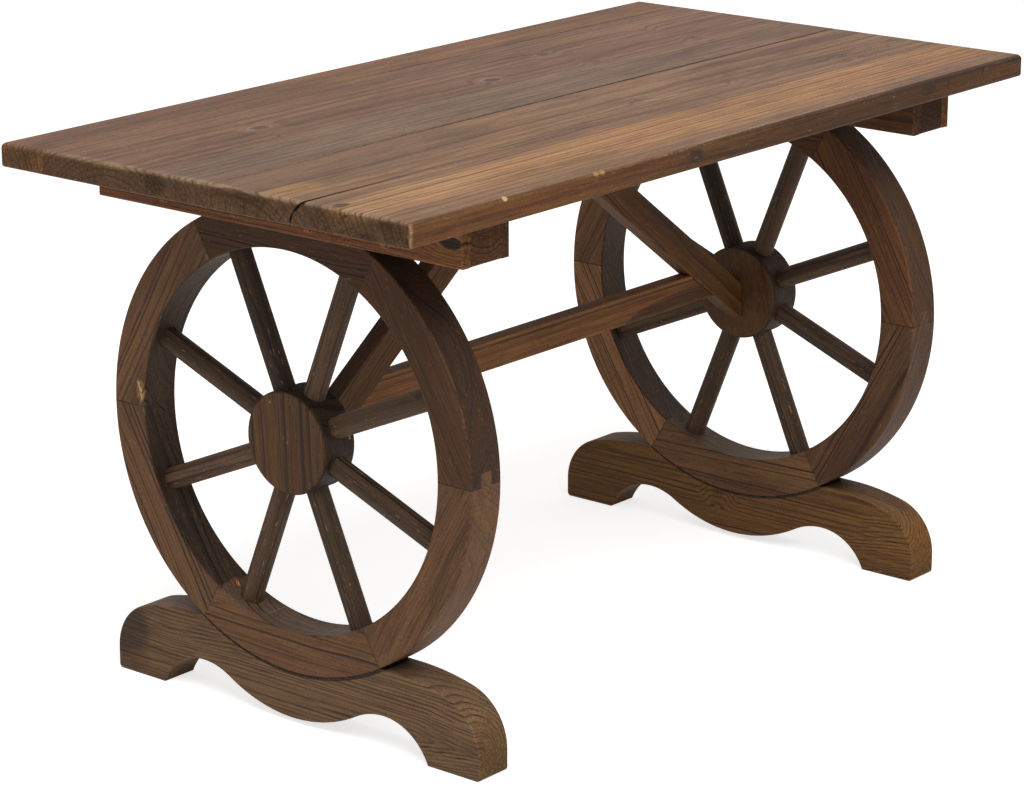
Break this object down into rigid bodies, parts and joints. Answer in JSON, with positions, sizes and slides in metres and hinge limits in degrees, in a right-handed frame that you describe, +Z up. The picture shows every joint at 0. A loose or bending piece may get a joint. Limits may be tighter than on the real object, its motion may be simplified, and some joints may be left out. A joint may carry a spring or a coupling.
{
  "type": "wagon wheel table",
  "caption": "Low rustic table: a planked top on two spoked wooden wheels that stand upright in ogee feet, tied by a stretcher and an inverted V of braces.",
  "frame": {"origin": "centre of the table's plan, on the floor", "axes": "+X along the top towards the right end, +Y across it towards the rear, +Z up"},
  "size_m": [0.9, 0.47, 0.508],
  "materials": {
    "plank_front": "charred, brushed and brown-stained fir under a thin satin oil",
    "plank_middle": "charred, brushed and brown-stained fir under a thin satin oil",
    "plank_rear": "charred, brushed and brown-stained fir under a thin satin oil",
    "outer_board": "charred, brushed and brown-stained fir under a thin satin oil",
    "saddle_block": "charred, brushed and brown-stained fir under a thin satin oil",
    "inner_board": "charred, brushed and brown-stained fir under a thin satin oil",
    "felloe": "charred, brushed and brown-stained fir under a thin satin oil",
    "spoke": "charred, brushed and brown-stained fir under a thin satin oil",
    "hub": "charred, brushed and brown-stained fir under a thin satin oil",
    "foot": "charred, brushed and brown-stained fir under a thin satin oil",
    "brace": "charred, brushed and brown-stained fir under a thin satin oil",
    "stretcher": "charred, brushed and brown-stained fir under a thin satin oil"
  },
  "bodies": {
    "root": {"left_brace": "brace", "left_felloe_1": "felloe", "left_felloe_2": "felloe", "left_felloe_3": "felloe", "left_felloe_4": "felloe", "left_felloe_5": "felloe", "left_felloe_6": "felloe", "left_foot": "foot", "left_hub": "hub", "left_inner_board": "inner_board", "left_outer_board": "outer_board", "left_saddle_block": "saddle_block", "left_spoke_1": "spoke", "left_spoke_2": "spoke", "left_spoke_3": "spoke", "left_spoke_4": "spoke", "left_spoke_5": "spoke", "left_spoke_6": "spoke", "left_spoke_7": "spoke", "left_spoke_8": "spoke", "plank_front": "plank_front", "plank_middle": "plank_middle", "plank_rear": "plank_rear", "right_brace": "brace", "right_felloe_1": "felloe", "right_felloe_2": "felloe", "right_felloe_3": "felloe", "right_felloe_4": "felloe", "right_felloe_5": "felloe", "right_felloe_6": "felloe", "right_foot": "foot", "right_hub": "hub", "right_inner_board": "inner_board", "right_outer_board": "outer_board", "right_saddle_block": "saddle_block", "right_spoke_1": "spoke", "right_spoke_2": "spoke", "right_spoke_3": "spoke", "right_spoke_4": "spoke", "right_spoke_5": "spoke", "right_spoke_6": "spoke", "right_spoke_7": "spoke", "right_spoke_8": "spoke", "stretcher": "stretcher"}
  },
  "joints": []
}
